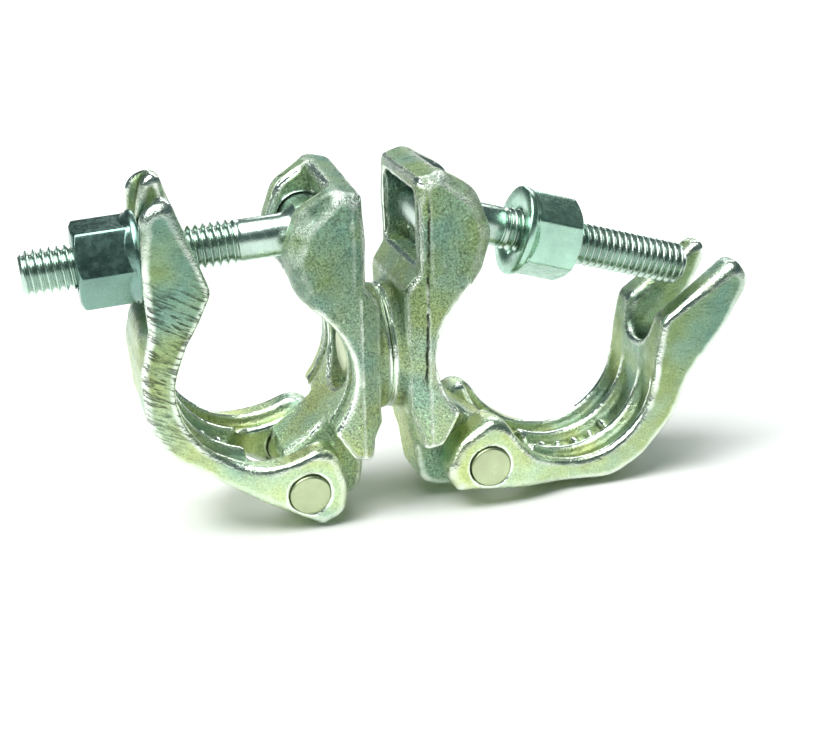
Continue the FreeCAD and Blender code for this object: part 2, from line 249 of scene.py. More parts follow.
def surface_net(field):
    """Vertices in grid units and quads of the field's zero surface."""
    inside = field < 0
    cells = tuple(n - 1 for n in field.shape)
    strides = np.array([cells[1] * cells[2], cells[2], 1])
    total = np.zeros((cells[0] * cells[1] * cells[2], 3))
    hits = np.zeros(len(total), int)
    quads = []
    for axis in range(3):
        ahead = np.roll(np.arange(3), -axis)[1:]
        near = [slice(1, -1)] * 3
        far = [slice(1, -1)] * 3
        near[axis] = slice(0, -1)
        far[axis] = slice(1, None)
        near, far = tuple(near), tuple(far)
        crossing = inside[near] != inside[far]
        place = np.argwhere(crossing)
        a = field[near][crossing]
        b = field[far][crossing]
        place += [0 if k == axis else 1 for k in range(3)]
        point = place.astype(float)
        point[:, axis] += a / (a - b)
        corners = []
        for first, second in ((0, 0), (-1, 0), (-1, -1), (0, -1)):
            cell = place.copy()
            cell[:, ahead[0]] += first
            cell[:, ahead[1]] += second
            flat = cell @ strides
            corners.append(flat)
            for k in range(3):
                total[:, k] += np.bincount(flat, point[:, k], len(total))
            hits += np.bincount(flat, minlength=len(total))
        quad = np.stack(corners, axis=1)
        outward = a > b
        quad[outward] = quad[outward][:, ::-1]
        quads.append(quad)
    used = np.flatnonzero(hits)
    number = np.full(len(total), -1)
    number[used] = np.arange(len(used))
    return total[used] / hits[used][:, None], number[np.concatenate(quads)]


def sampled(field, points):
    """The field at points in grid units."""
    low = np.clip(points.astype(int), 0, np.array(field.shape) - 2)
    part = points - low
    value = np.zeros(len(points))
    for corner in np.ndindex(2, 2, 2):
        weight = np.prod(np.where(corner, part, 1 - part), axis=1)
        index = low + corner
        value += weight * field[index[:, 0], index[:, 1], index[:, 2]]
    return value


def pulled_to_surface(field, points):
    slope = np.zeros_like(points)
    for axis in range(3):
        shift = np.eye(3)[axis] * 0.5
        slope[:, axis] = sampled(field, points + shift) - sampled(field, points - shift)
    steep = np.maximum((slope**2).sum(axis=1), 0.02)
    move = sampled(field, points) / steep
    return points - slope * np.clip(move, -1.5, 1.5)[:, None]


def relaxed(points, quads):
    """Each vertex at the middle of its neighbours."""
    count = len(points)
    edges = np.concatenate([quads[:, [k, (k + 1) % 4]] for k in range(4)])
    number = np.bincount(edges[:, 0], minlength=count) + np.bincount(edges[:, 1], minlength=count)
    middle = np.zeros_like(points)
    for k in range(3):
        middle[:, k] = np.bincount(edges[:, 0], points[edges[:, 1], k], count)
        middle[:, k] += np.bincount(edges[:, 1], points[edges[:, 0], k], count)
    return middle / np.maximum(number, 1)[:, None]


def forged(shape, low, high):
    """Mesh points, in millimetres, and quads of a field inside a box."""
    axes = [np.arange(low[k], high[k] + GRID_STEP, GRID_STEP, dtype=np.float32) for k in range(3)]
    grid = np.meshgrid(*axes, indexing="ij", sparse=True)
    field = shape(*grid).astype(np.float32)
    points, quads = surface_net(field)
    for _ in range(RELAX_ROUNDS):
        points = 0.5 * points + 0.5 * relaxed(points, quads)
        points = pulled_to_surface(field, points)
    return points * GRID_STEP + np.array(low), quads


# In metres.
TWIN_SUM = 5e-7
TWIN_DISTANCE = 3.6e-4
TWIN_NUDGE = 2e-6


def parted(points):
    """Points with close twins nudged apart by microns. The renderer's pointiness, which the
    materials use, welds two points when they are close and their coordinates add up alike."""
    order = np.argsort(points.sum(axis=1))
    line = points[order]
    sums = line.sum(axis=1)
    for step in range(1, 6):
        alike = sums[step:] - sums[:-step] < TWIN_SUM
        near = np.linalg.norm(line[step:] - line[:-step], axis=1) < TWIN_DISTANCE
        line[step:, 2] += np.where(alike & near, TWIN_NUDGE, 0)
    result = np.empty_like(points)
    result[order] = line
    return result


def new_piece(name, points, faces, matrix, material):
    """A smooth-shaded mesh in the row's frame from points in millimetres in the matrix's frame.
    The points as drawn stay in the attribute "drawn", in metres, for the materials."""
    drawn = np.asarray(points) * MM
    turn = np.array(matrix.to_3x3())
    mesh = bpy.data.meshes.new(name)
    placed = parted(drawn @ turn.T + np.array(matrix.translation))
    mesh.from_pydata(placed.tolist(), [], [list(face) for face in faces])
    store = mesh.attributes.new("drawn", "FLOAT_VECTOR", "POINT")
    store.data.foreach_set("vector", drawn.astype(np.float32).ravel())
    mesh.shade_smooth()
    mesh.materials.append(material)
    piece = bpy.data.objects.new(name, mesh)
    bpy.context.scene.collection.objects.link(piece)
    return piece


# ---------------------------------------------------------------- saddle
BODY_SIDE = [
    (8.0, 52.4, 1.8),
    (15.5, 54.4, 4.5),
    (25.6, 48.4, 8.5),
    (30.2, 36.2, 8.5),
    (27.2, 25.0, 6.5),
    (21.0, 18.9, 1.0),
    (18.5, -16.9, 1.0),
    (13.2, -25.9, 2.0),
    (7.4, -27.2, 1.5),
    (6.2, -20.6, 1.0),
    (3.8, -16.4, 1.5),
    (3.8, 20.5, 3.0),
    (7.9, 26.0, 2.0),
]
LUG_SIDE = [
    (8.0, -10.0, 1.0),
    (5.6, -20.0, 3.0),
    (8.8, -41.6, 4.5),
    (15.0, -43.9, 5.0),
    (26.75, -43.6, 0.0),
    (36.0, -38.0, 3.0),
    (36.0, -30.0, 3.0),
    (24.9, -21.2, 1.0),
    (21.0, -12.0, 1.0),
]
SLOT_SIDE = [
    (9.0, 47.6, 0.0),
    (16.8, 47.6, 0.8),
    (16.8, 60.0, 0.0),
    (40.0, 60.0, 0.0),
    (40.0, 21.5, 0.0),
    (18.4, 30.3, 0.0),
    (9.0, 30.3, 0.0),
]


def flank(u, z, ear):
    """Distance of each flank from the middle: drafted towards the back, crowned on the ears."""
    back_slope = (1 - ear) * 0.42 * np.maximum(9.8 - u, 0) + ear * 0.25 * np.maximum(11.5 - u, 0)
    crown = 0.6 * np.clip(1 - ((u - 19) ** 2 + (z - 37) ** 2) / 300, 0, 1)
    return HALF_WIDTH - back_slope + crown * ear - 0.3 * ear


def head_housing(u, wide, z):
    """The ears' slot, the pocket for the bolt's cross-bar head and the window at the back."""
    slot = rounded_max(outline_distance(SLOT_SIDE, u, z), wide - EAR_GAP_HALF, 1.5)
    head = np.hypot(u - HEAD_ALONG, z - HEAD_HEIGHT)
    pocket = rounded_max(head - POCKET_RADIUS, wide - POCKET_HALF_LENGTH, 0.8)
    window = np.maximum(np.abs(z - WINDOW_HEIGHT) - WINDOW_HALF_HEIGHT, u - WINDOW_DEPTH)
    window = rounded_max(window, wide - WINDOW_HALF_LENGTH, 2.5)
    return ((slot, 1.4), (pocket, 0.7), (window, 1.2))


def body_field(u, y, z):
    """Saddle, boss, ears and hinge lug in one forging."""
    wide = np.abs(y)
    ear = smoothstep(20, 27, z)
    edge = BODY_ROUNDING + 3.2 * ear * smoothstep(13, 23, u) + 1.8 * ear * smoothstep(43, 51, z)
    field = rounded_max(outline_distance(BODY_SIDE, u, z), wide - flank(u, z, ear), edge)

    axle = np.hypot(y, z)
    boss = rounded_max(axle - BOSS_RADIUS, np.maximum(BOSS_GAP - u, u - BOSS_DEPTH), 0.9)
    field = blended_min(field, boss, 1.6)
    lug = rounded_max(outline_distance(LUG_SIDE, u, z), wide - LUG_HALF_WIDTH, 2.2)
    field = blended_min(field, lug, 2.5)

    tube = np.hypot(u - TUBE_OFFSET, z)
    field = rounded_max(field, TUBE_RADIUS - tube, 1.3)
    groove = np.abs(wide - SEAT_GROOVE_MIDDLE) - SEAT_GROOVE_HALF_WIDTH
    groove = rounded_max(tube - TUBE_RADIUS - SEAT_GROOVE_DEPTH, groove, 0.8)
    field = rounded_max(field, -groove, 0.8)
    for hollow, rounding in head_housing(u, wide, z):
        field = rounded_max(field, -hollow, rounding)
    recess = np.maximum(axle - RECESS_RADIUS, RECESS_FLOOR - u)
    field = rounded_max(field, -recess, 0.9)
    field = np.maximum(field, RIVET_RADIUS + RIVET_CLEARANCE - axle)
    pin = np.hypot(u - PIN_ALONG, z - PIN_HEIGHT)
    field = rounded_max(field, PIN_RADIUS + PIN_CLEARANCE - pin, 0.4)
    return forged_skin(field, 3)


# ---------------------------------------------------------------- flap
FLAP_SIDE = [
    (32.0, -21.5, 0.5),
    (56.3, 13.3, 3.0),
    (47.8, 29.4, 5.0),
    (55.8, 56.8, 3.3),
    (64.7, 56.0, 6.3),
    (66.0, 38.0, 12.0),
    (65.9, 21.0, 10.0),
    (69.6, 8.5, 9.0),
    (69.6, -6.5, 10.0),
    (64.5, -18.0, 12.0),
    (46.5, -31.2, 16.0),
    (23.6, -45.8, 1.6),
    (16.4, -43.4, 5.0),
    (14.8, -33.0, 9.0),
    (18.2, -22.2, 5.0),
    (25.2, -20.4, 3.0),
]
CHEEK_GAP_SIDE = [
    (10.0, -12.0, 0.0),
    (26.75, -12.0, 0.0),
    (44.5, -19.0, 2.0),
    (46.0, -40.0, 3.0),
    (26.75, -56.0, 0.0),
    (10.0, -50.0, 0.0),
]
MARK_COUNT = 5
MARK_START = math.radians(-62)
MARK_STEP = math.radians(11.5)
MARK_HALF_RUN = 1.3
MARK_HALF_LENGTHS = (3.5, 1.9)
MARK_HALF_HEIGHT = 1.6


def channel_marks(u, y, z):
    """Plain raised bars and pips by turns along the floor of the middle channel."""
    bars = None
    for index in range(MARK_COUNT):
        angle = MARK_START + index * MARK_STEP
        along = math.cos(angle)
        up = math.sin(angle)
        centre = (TUBE_OFFSET + CHANNEL_RADIUS * along, CHANNEL_RADIUS * up)
        run = -(u - centre[0]) * up + (z - centre[1]) * along
        rise = (u - centre[0]) * along + (z - centre[1]) * up
        across = y / MARK_HALF_LENGTHS[index % 2]
        bar = (run / MARK_HALF_RUN) ** 2 + across**2 + (rise / MARK_HALF_HEIGHT) ** 2
        bar = np.sqrt(bar) - 1
        bars = bar if bars is None else np.minimum(bars, bar)
    return bars * 1.1


def fork(u, wide, z, tip):
    """The gap between the fingers, and the way that the nut's flange takes past them."""
    floor = FORK_FLOOR + 1.6 * smoothstep(56, 66, u)
    spread = 0.6 * smoothstep(30, 48, z) + 0.10 * np.maximum(56 - u, 0)
    slot = rounded_max(floor - z, wide - FORK_GAP_HALF - spread, 6.5)
    head = np.hypot(u - HEAD_ALONG, z - HEAD_HEIGHT)
    swing = rounded_max(NUT_PATH_RADIUS - head, wide - NUT_PATH_HALF_WIDTH, 1.5)
    swing = np.maximum(swing, NUT_PATH_FOOT - z)
    return ((slot, 3.2 - 0.7 * tip), (swing, 2.4))


def flap_field(u, y, z):
    """Curved arm: two hinge cheeks, ribbed inside, forked at its free end."""
    wide = np.abs(y)
    pin = np.hypot(u - PIN_ALONG, z - PIN_HEIGHT)
    cheek = 1 - smoothstep(11, 27, pin)
    tip = smoothstep(36, 54, z)
    half = FLAP_HALF_WIDTH + (CHEEK_HALF_WIDTH - FLAP_HALF_WIDTH) * cheek - 0.4 * tip
    edge = FLAP_ROUNDING + 1.2 * cheek + 1.8 * tip
    field = rounded_max(outline_distance(FLAP_SIDE, u, z), wide - half, edge)
    lip = np.hypot(u - FORK_LIP_ALONG, z - FORK_LIP_HEIGHT) - FORK_LIP_RADIUS
    lip = rounded_max(lip, wide - FORK_LIP_HALF_WIDTH, 4.0)
    field = blended_min(field, lip, 3.0)

    tube = np.hypot(u - TUBE_OFFSET, z)
    field = rounded_max(field, TUBE_RADIUS - tube, 1.9)
    # The channels between the ribs run out towards the fork.
    fade = 2.6 * smoothstep(4, 18, z)
    for centre, half_channel in CHANNELS:
        channel = np.abs(wide - centre) - half_channel
        channel = rounded_max(tube - CHANNEL_RADIUS + fade, channel, 2.0)
        field = rounded_max(field, -channel, 1.6)
    gap_half = CHEEK_GAP_HALF * (1 - smoothstep(13, 26, pin))
    gap = rounded_max(outline_distance(CHEEK_GAP_SIDE, u, z), wide - gap_half, 1.5)
    field = rounded_max(field, -gap, 1.4)
    for hollow, rounding in fork(u, wide, z, tip):
        field = rounded_max(field, -hollow, rounding)
    field = blended_min(field, channel_marks(u, y, z), 0.6)
    field = rounded_max(field, PIN_HOLE_RADIUS - pin, 0.35)
    return forged_skin(field, 7)


# ---------------------------------------------------------------- turned parts
def lathe(profile, segments=96):
    """Points and faces of a profile of (radius, height) round Z."""
    angles = np.arange(segments) * 2 * math.pi / segments
    points = []
    for radius, height in profile:
        ring = np.stack([radius * np.cos(angles), radius * np.sin(angles)], axis=1)
        points.append(np.column_stack([ring, np.full(segments, height)]))
    return np.concatenate(points), rings_to_faces(len(profile), segments)


def rings_to_faces(rings, segments, closed=False):
    """Quads between rings of points, outward when the rings run up an outer wall."""
    faces = []
    for ring in range(rings if closed else rings - 1):
        base, above = ring * segments, (ring + 1) % rings * segments
        for index in range(segments):
            after = (index + 1) % segments
            faces.append((base + index, base + after, above + after, above + index))
    return faces


def rounded_profile(corners, radius_steps=4):
    """A profile of (radius, height, rounding) corners with each corner an arc."""
    points = []
    for index, (radius, height, rounding) in enumerate(corners):
        if rounding == 0 or index in (0, len(corners) - 1):
            points.append((radius, height))
            continue
        corner = Vector((radius, height))
        back = (Vector(corners[index - 1][:2]) - corner).normalized()
        ahead = (Vector(corners[index + 1][:2]) - corner).normalized()
        half = back.angle(ahead) / 2
        start = corner + back * rounding / math.tan(half)
        end = corner + ahead * rounding / math.tan(half)
        centre = corner + (back + ahead).normalized() * rounding / math.sin(half)
        for step in range(radius_steps + 1):
            spoke = start.lerp(end, step / radius_steps) - centre
            points.append(tuple(centre + spoke.normalized() * rounding))
    return points


def joined_meshes(parts):
    points, faces, start = [], [], 0
    for part_points, part_faces in parts:
        points.append(part_points)
        faces += [tuple(index + start for index in face) for face in part_faces]
        start += len(part_points)
    return np.concatenate(points), faces


THREAD_ROWS = 12
THREAD_SEGMENTS = 90
END_CHAMFER = 1.5


def thread_surface(start, end, outer, depth, runout):
    """A helical thread round Z: each row of points climbs one pitch in a turn."""
    turns = math.ceil((end - start) / THREAD_PITCH) + 1
    rows = turns * THREAD_ROWS + 1
    row = np.arange(rows)[:, None]
    turn = np.arange(THREAD_SEGMENTS)[None, :] / THREAD_SEGMENTS
    phase = row / THREAD_ROWS
    height = start + (phase + turn - 1) * THREAD_PITCH
    sawtooth = np.abs((phase % 1) * 2 - 1)
    crest = smoothstep(0.06, 0.94, sawtooth) * 0.5 + np.clip((sawtooth - 0.1) / 0.8, 0, 1) * 0.5
    full = smoothstep(start, start + runout, height)
    shank = SHANK_RADIUS + 0 * height
    radius = outer - depth * (1 - crest)
    radius = shank * (1 - full) + radius * full
    radius = np.minimum(radius, outer - END_CHAMFER + (end - height))
    height = np.clip(height, start, end)
    radius = np.maximum(radius, outer - END_CHAMFER)
    angle = turn * 2 * math.pi
    points = np.stack([radius * np.cos(angle), radius * np.sin(angle), height], axis=2)
    faces = []
    for ring in range(rows - 1):
        for index in range(THREAD_SEGMENTS):
            after = (index + 1) % THREAD_SEGMENTS
            lift = THREAD_ROWS if after == 0 else 0
            if ring + 1 + lift >= rows:
                continue
            corners = [
                (ring, index), (ring + lift, after), (ring + 1 + lift, after), (ring + 1, index),
            ]
            faces.append([r * THREAD_SEGMENTS + i for r, i in corners])
    flat = points.reshape(-1, 3)
    heights = flat[:, 2]
    kept = [f for f in faces if heights[f].max() - heights[f].min() > 1e-6]
    return flat, kept


def bolt_mesh():
    """Cross-bar head, shank and rolled thread."""
    bar = rounded_profile([
        (0, -HEAD_HALF_LENGTH, 0),
        (HEAD_RADIUS, -HEAD_HALF_LENGTH, 1.2),
        (HEAD_RADIUS, HEAD_HALF_LENGTH, 1.2),
        (0, HEAD_HALF_LENGTH, 0),
    ])
    bar_points, bar_faces = lathe(bar)
    bar_points = bar_points[:, [0, 2, 1]] * [1, 1, -1]
    shank = lathe([
        (SHANK_RADIUS + 2.2, HEAD_RADIUS - 2.6),
        (SHANK_RADIUS + 0.9, HEAD_RADIUS - 1.0),
        (SHANK_RADIUS + 0.2, HEAD_RADIUS + 0.4),
        (SHANK_RADIUS, HEAD_RADIUS + 1.8),
        (SHANK_RADIUS, THREAD_START),
        (SHANK_RADIUS - 0.8, THREAD_START + 1.5),
    ])
    thread = thread_surface(THREAD_START, BOLT_LENGTH, THREAD_RADIUS, THREAD_DEPTH, 3.5)
    tip_radius = THREAD_RADIUS - END_CHAMFER
    end = lathe([
        (tip_radius + 0.35, BOLT_LENGTH - 0.55),
        (tip_radius, BOLT_LENGTH - 0.12),
        (tip_radius - 0.5, BOLT_LENGTH),
        (2.4, BOLT_LENGTH + 0.05),
        (0, BOLT_LENGTH + 0.05),
    ])
    return joined_meshes([(bar_points, bar_faces), shank, thread, end])


HEX_ROUNDING = 0.55
NUT_FACE_RADIUS = 10.7
NUT_SEGMENTS = 144


def hexagon_radius(angles):
    """Distance from the axis to a hexagon with slightly rounded corners."""
    from_flat = (angles + math.pi / 6) % (math.pi / 3) - math.pi / 6
    flat = NUT_HALF_FLATS / np.cos(from_flat)
    corner = (NUT_HALF_FLATS - HEX_ROUNDING) / math.cos(math.pi / 6)
    from_corner = math.pi / 6 - np.abs(from_flat)
    side = corner * np.sin(from_corner)
    reach = np.sqrt(np.maximum(HEX_ROUNDING**2 - side**2, 0))
    arc = corner * np.cos(from_corner) + reach
    return np.where(np.abs(side) < HEX_ROUNDING * 0.5, np.minimum(flat, arc), flat)


def nut_mesh():
    """Chamfered hexagon on a conical flange, with its bore and countersinks."""
    angles = np.arange(NUT_SEGMENTS) * 2 * math.pi / NUT_SEGMENTS
    hexagon = hexagon_radius(angles)
    steady = np.ones(NUT_SEGMENTS)
    slope = math.tan(math.radians(30))
    cone_top = FLANGE_THICKNESS + (FLANGE_RADIUS - 0.4 - hexagon) * 0.95
    chamfer = NUT_HEIGHT - np.maximum(hexagon - NUT_FACE_RADIUS, 0) * slope
    bore = THREAD_RADIUS - THREAD_DEPTH * 0.35
    rings = [
        (bore * steady, 1.6 * steady),
        (THREAD_RADIUS * 1.19 * steady, 0.25 * steady),
        (THREAD_RADIUS * 1.23 * steady, 0 * steady),
        ((FLANGE_RADIUS - 0.5) * steady, 0 * steady),
        ((FLANGE_RADIUS - 0.12) * steady, 0.2 * steady),
        (FLANGE_RADIUS * steady, 0.6 * steady),
        (FLANGE_RADIUS * steady, (FLANGE_THICKNESS - 0.9) * steady),
        ((FLANGE_RADIUS - 0.2) * steady, (FLANGE_THICKNESS - 0.3) * steady),
        ((FLANGE_RADIUS - 0.7) * steady, (FLANGE_THICKNESS + 0.1) * steady),
        (hexagon + 0.35, cone_top + 0.05),
        (hexagon + 0.08, cone_top + 0.3),
        (hexagon, cone_top + 0.7),
        (hexagon, chamfer - 0.35),
        (hexagon - 0.06, chamfer - 0.08),
        (hexagon - 0.3, chamfer + 0.17),
        (np.minimum(hexagon - 0.35, NUT_FACE_RADIUS + 0.1), NUT_HEIGHT - 0.05 + 0 * steady),
        ((NUT_FACE_RADIUS - 0.5) * steady, NUT_HEIGHT * steady),
        (THREAD_RADIUS * 1.16 * steady, NUT_HEIGHT * steady),
        (THREAD_RADIUS * 1.13 * steady, (NUT_HEIGHT - 0.2) * steady),
        (bore * steady, (NUT_HEIGHT - 1.5) * steady),
    ]
    points = []
    for radius, height in rings:
        points.append(np.column_stack([radius * np.cos(angles), radius * np.sin(angles), height]))
    return np.concatenate(points), rings_to_faces(len(rings), NUT_SEGMENTS, closed=True)


def pin_mesh():
    """Hinge pin along Y, its ends slightly crowned."""
    profile = rounded_profile([
        (0, -PIN_HALF_LENGTH, 0),
        (3.0, -PIN_HALF_LENGTH + 0.05, 0),
        (PIN_RADIUS, -PIN_HALF_LENGTH + 0.12, 0.55),
        (PIN_RADIUS, PIN_HALF_LENGTH - 0.12, 0.55),
        (3.0, PIN_HALF_LENGTH - 0.05, 0),
        (0, PIN_HALF_LENGTH, 0),
    ])
    points, faces = lathe(profile)
    points = points[:, [0, 2, 1]] * [1, 1, -1]
    return points + [PIN_ALONG, 0, PIN_HEIGHT], faces


def rivet_mesh():
    """Shank along X with a low domed head in each half's recess."""
    reach = RECESS_FLOOR
    head = reach + RIVET_HEAD_THICKNESS
    half = [
        (RIVET_RADIUS, 0, 0),
        (RIVET_RADIUS, reach, 0.3),
        (RIVET_HEAD_RADIUS, reach, 0.5),
        (RIVET_HEAD_RADIUS, reach + 1.5, 0.9),
        (RIVET_HEAD_RADIUS - 4.2, head - 0.3, 2.5),
        (0, head, 0),
    ]
    profile = [(r, -h, s) for r, h, s in reversed(half)] + half[1:]
    points, faces = lathe(rounded_profile(profile))
    return points[:, [2, 1, 0]] * [1, 1, -1], faces


# ---------------------------------------------------------------- materials
def add(tree, kind, values=None, **settings):
    """A shader node; a value that is a socket is linked, anything else is set."""
    node = tree.nodes.new("ShaderNode" + kind)
    for name, value in settings.items():
        setattr(node, name, value)
    for name, value in (values or {}).items():
        if isinstance(value, bpy.types.NodeSocket):
            tree.links.new(value, node.inputs[name])
        else:
            node.inputs[name].default_value = value
    return node


def ramp(tree, source, stops):
    """A colour ramp of (position, colour) stops."""
    node = add(tree, "ValToRGB", {"Fac": source})
    elements = node.color_ramp.elements
    while len(elements) < len(stops):
        elements.new(0.5)
    for element, (position, colour) in zip(elements, stops):
        element.position = position
        element.color = (*colour, 1)
    return node.outputs["Color"]


def grey(value):
    return (value, value, value)


def noise(tree, where, scale, detail=3.0, roughness=0.55, distortion=0.0):
    values = {"Vector": where, "Scale": scale, "Detail": detail, "Roughness": roughness}
    values["Distortion"] = distortion
    return add(tree, "TexNoise", values).outputs["Fac"]


def mixed(tree, factor, first, second, blend="MIX"):
    values = {"Fac": factor, "Color1": first, "Color2": second}
    return add(tree, "MixRGB", values, blend_type=blend).outputs["Color"]


def scaled(tree, first, second, operation="MULTIPLY"):
    return add(tree, "Math", {0: first, 1: second}, operation=operation).outputs["Value"]


def absolute(tree, value):
    return add(tree, "Math", {0: value}, operation="ABSOLUTE").outputs["Value"]


def drawn_height(tree, split):
    """Height in the half frame, from 0 at 50 mm below the swivel's axis to 1 at 50 mm above it."""
    return scaled(tree, scaled(tree, split.outputs["Z"], 10.0), 0.5, "ADD")


def bumped(tree, height, strength, distance, below=None):
    values = {"Height": height, "Strength": strength, "Distance": distance}
    if below:
        values["Normal"] = below
    return add(tree, "Bump", values).outputs["Normal"]


def metal(name):
    """An empty metallic material: its tree, shader and object coordinates."""
    material = bpy.data.materials.new(name)
    material.use_nodes = True
    tree = material.node_tree
    shader = tree.nodes["Principled BSDF"]
    shader.inputs["Metallic"].default_value = 1.0
    where = add(tree, "TexCoord").outputs["Object"]
    return material, tree, shader, where


PALE_ZINC = (0.44, 0.57, 0.37)
YELLOW_ZINC = (0.48, 0.57, 0.26)
TEAL_ZINC = (0.33, 0.50, 0.39)
# Multipliers for painted light by height: the upper parts of the forgings are painted darker and
# cooler, the lower parts painted brighter.
PAINTED_TOP_SHADE = (0.50, 0.60, 0.60)
PAINTED_LOW_LIGHT = (1.35, 1.32, 1.25)
# Colour of the edges smoothed by wear, near white: partly wear, partly a painted highlight.
WORN_HIGHLIGHT_ZINC = (0.88, 0.95, 0.86, 1)
WORN_ROUGHNESS = (0.16, 0.16, 0.16, 1)
MARK_TONE = (0.05, 0.06, 0.04, 1)


def forged_zinc(name, graininess, seamed=False, scored=False):
    """Bright zinc on a forged skin: grainy on the flats and smooth on the edges smoothed by wear,
    with painted light: a painted highlight whitens those edges, painted shade darkens the creases
    and the colour is painted darker towards the top.
    """
    material, tree, shader, where = metal(name)
    drawn = add(tree, "Attribute", attribute_name="drawn").outputs["Vector"]
    split = add(tree, "SeparateXYZ", {"Vector": drawn})
    broad = noise(tree, where, 55, 2.0)
    colour = ramp(tree, broad, [(0.32, TEAL_ZINC), (0.46, PALE_ZINC), (0.60, YELLOW_ZINC)])
    # Painted light by height: the colour is multiplied brighter low down and darker high up,
    # standing in for shade on the upper parts.
    height = scaled(tree, drawn_height(tree, split), scaled(tree, broad, 0.3), "ADD")
    tone = ramp(tree, height, [(0.32, PAINTED_LOW_LIGHT), (0.6, grey(1.0)), (0.95, PAINTED_TOP_SHADE)])
    colour = mixed(tree, 1.0, colour, tone, "MULTIPLY")
    shape = add(tree, "NewGeometry").outputs["Pointiness"]
    # Painted shade: hollows and creases, where pointiness is low, are darkened.
    painted_crease_shade = ramp(tree, shape, [(0.455, grey(0.30)), (0.492, grey(1.0))])
    # Convex edges: smoothed by wear and painted whiter as a highlight.
    wear_and_highlight = ramp(tree, shape, [(0.5035, grey(0.0)), (0.524, grey(1.0))])
    grain = noise(tree, where, 1700, 3.0, 0.65)
    speck = ramp(tree, grain, [(0.34, grey(0.25)), (0.47, grey(0.95)), (0.60, grey(1.5))])
    colour = mixed(tree, 0.85, colour, painted_crease_shade, "MULTIPLY")
    colour = mixed(tree, 0.75 * graininess, colour, speck, "MULTIPLY")
    colour = mixed(tree, wear_and_highlight, colour, WORN_HIGHLIGHT_ZINC)
    patches = noise(tree, where, 320, 3.0)
    rough = ramp(tree, patches, [(0.3, grey(0.22)), (0.7, grey(0.40))])
    rough = mixed(tree, wear_and_highlight, rough, WORN_ROUGHNESS)
    waves = noise(tree, where, 210, 3.0)
    normal = bumped(tree, waves, 0.55, 0.0008)
    skin = scaled(tree, grain, add(tree, "Invert", {"Color": wear_and_highlight}).outputs["Color"])
    normal = bumped(tree, skin, 0.95 * graininess, 0.0010, normal)
    marks = None
    if seamed:
        marks = parting_line(tree, drawn, split)
    if scored:
        marks = score_marks(tree, drawn, split)
    if marks:
        colour = mixed(tree, marks, colour, MARK_TONE)
        hollow = scaled(tree, marks, -1.0)
        normal = bumped(tree, hollow, 0.7, 0.0005, normal)
    tree.links.new(colour, shader.inputs["Base Color"])
    tree.links.new(rough, shader.inputs["Roughness"])
    tree.links.new(normal, shader.inputs["Normal"])
    return material


def on_flanks(tree, split, start):
    """One on the outer flanks, beyond that many metres from the middle, and zero elsewhere."""
    aside = absolute(tree, split.outputs["Y"])
    past = scaled(tree, scaled(tree, aside, start, "SUBTRACT"), 1000.0)
    return ramp(tree, past, [(0.0, grey(0.0)), (0.8, grey(1.0))])


def parting_line(tree, drawn, split):
    """The dark ragged line that the die left along the saddle's flanks."""
    lean = scaled(tree, split.outputs["Z"], -0.045)
    ragged = noise(tree, drawn, 260, 4.0, 0.7)
    wander = scaled(tree, scaled(tree, ragged, 0.5, "SUBTRACT"), 0.0016)
    offset = scaled(tree, scaled(tree, split.outputs["X"], lean, "ADD"), -0.0091, "ADD")
    offset = scaled(tree, offset, wander, "ADD")
    offset = absolute(tree, offset)
    line = ramp(tree, scaled(tree, offset, 1000.0), [(0.22, grey(1.0)), (0.5, grey(0.0))])
    run = ramp(tree, drawn_height(tree, split), [
        (0.40, grey(0.0)), (0.46, grey(1.0)), (0.94, grey(1.0)), (0.98, grey(0.0)),
    ])
    broken = ramp(tree, ragged, [(0.38, grey(0.2)), (0.5, grey(1.0))])
    line = scaled(tree, scaled(tree, line, run), broken)
    return scaled(tree, line, on_flanks(tree, split, 0.0185))


def score_marks(tree, drawn, split):
    """Short dark trimming marks, slanting across the flap's flanks below the fork."""
    slant = add(tree, "Mapping", {"Vector": drawn, "Rotation": (0, math.radians(32), 0)})
    streaks = add(tree, "Mapping", {
        "Vector": slant.outputs["Vector"], "Scale": (170.0, 100.0, 1250.0),
    })
    lines = noise(tree, streaks.outputs["Vector"], 1.0, 2.0, 0.5)
    lines = ramp(tree, lines, [(0.50, grey(0.0)), (0.60, grey(1.0))])
    band = ramp(tree, drawn_height(tree, split), [
        (0.25, grey(0.0)), (0.48, grey(0.8)), (0.78, grey(1.0)), (0.88, grey(0.0)),
    ])
    patchy = ramp(tree, noise(tree, drawn, 120), [(0.36, grey(0.1)), (0.52, grey(0.85))])
    area = scaled(tree, scaled(tree, on_flanks(tree, split, 0.0165), band), patchy)
    return scaled(tree, lines, area)


def bright_zinc(name, base, low, high, grain_scale=900, grain_depth=0.00012):
    """Bright zinc on a turned or rolled surface, with shade painted into its creases."""
    material, tree, shader, where = metal(name)
    broad = noise(tree, where, 90, 3.0)
    dark = tuple(c * 0.82 for c in base)
    colour = ramp(tree, broad, [(0.35, dark), (0.6, base)])
    shape = add(tree, "NewGeometry").outputs["Pointiness"]
    # Painted shade: hollows and creases, where pointiness is low, are darkened.
    painted_crease_shade = ramp(tree, shape, [(0.42, grey(0.3)), (0.49, grey(1.0))])
    colour = mixed(tree, 0.85, colour, painted_crease_shade, "MULTIPLY")
    tree.links.new(colour, shader.inputs["Base Color"])
    patches = noise(tree, where, 420, 3.0)
    rough = ramp(tree, patches, [(0.3, grey(low)), (0.7, grey(high))])
    tree.links.new(rough, shader.inputs["Roughness"])
    fine = noise(tree, where, grain_scale, 3.0)
    tree.links.new(bumped(tree, fine, 0.35, grain_depth), shader.inputs["Normal"])
    return material


